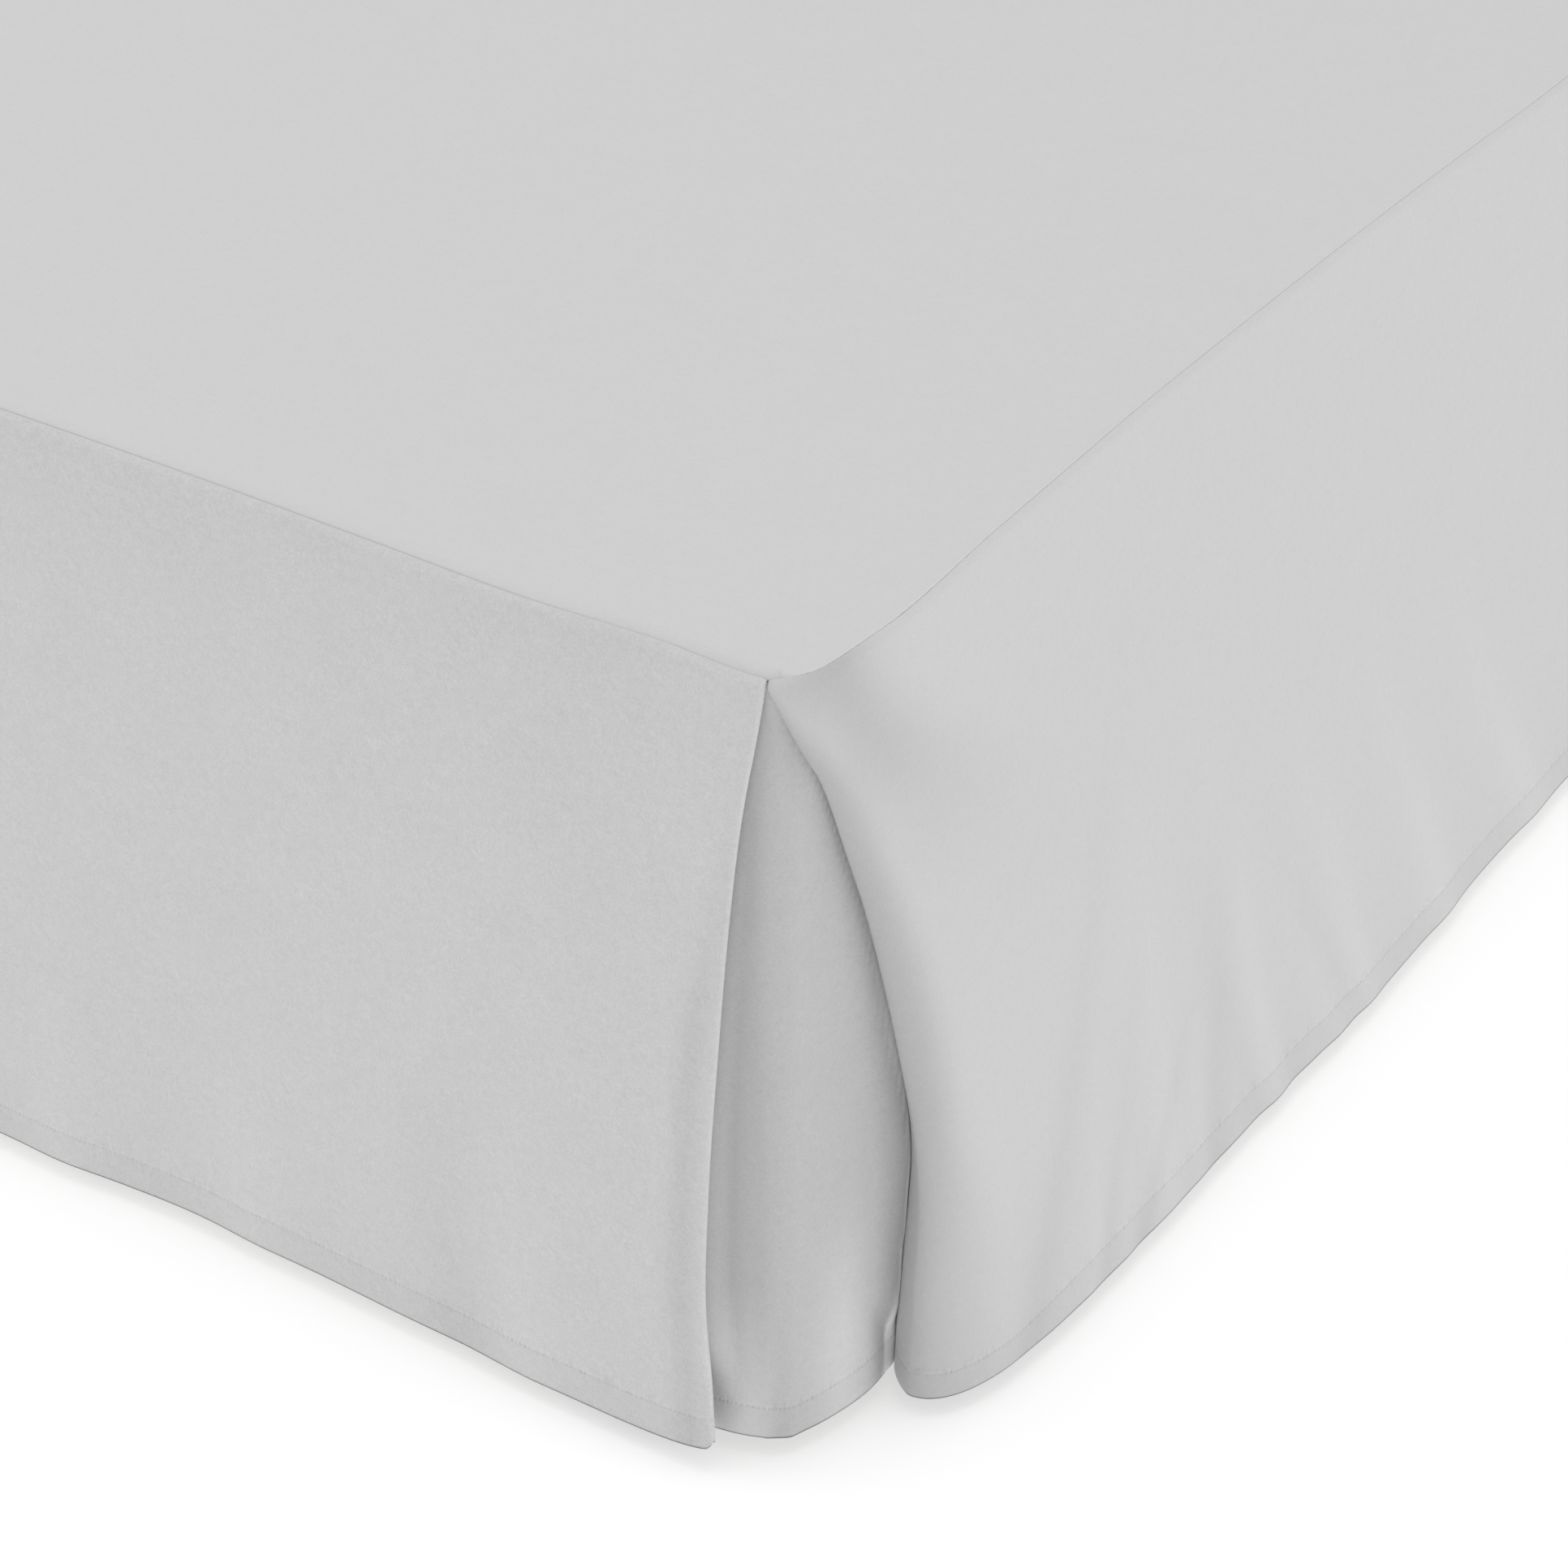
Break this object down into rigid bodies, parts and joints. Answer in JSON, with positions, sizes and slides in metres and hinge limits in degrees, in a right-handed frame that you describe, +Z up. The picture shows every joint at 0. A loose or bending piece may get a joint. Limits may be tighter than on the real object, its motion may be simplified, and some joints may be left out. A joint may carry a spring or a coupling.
{
  "type": "bed skirt on a bed base",
  "caption": "Tailored bed skirt: flat drops with open corner pleats hang from a deck panel laid on a plain legged box spring and hide the space under the bed.",
  "frame": {"origin": "on the floor, under the middle of the whole", "axes": "+Z up; -Y towards the foot end of the bed, +Y towards the head end, which has no drop; +X to the right seen from the foot"},
  "size_m": [1.631, 2.05, 0.39],
  "materials": {
    "skirt_cloth": "light grey brushed microfibre, matt with a short nap",
    "base_ticking": "plain off-white woven ticking",
    "leg_wood": "dark stained wood, satin"
  },
  "bodies": {
    "root": {"deck_panel": "skirt_cloth", "foot_drop": "skirt_cloth", "side_drop_right": "skirt_cloth", "side_drop_left": "skirt_cloth", "pleat_underlay_right": "skirt_cloth", "pleat_underlay_left": "skirt_cloth", "box_spring": "base_ticking", "leg_foot_right": "leg_wood", "leg_foot_left": "leg_wood", "leg_middle_right": "leg_wood", "leg_middle_left": "leg_wood", "leg_head_right": "leg_wood", "leg_head_left": "leg_wood"}
  },
  "joints": []
}
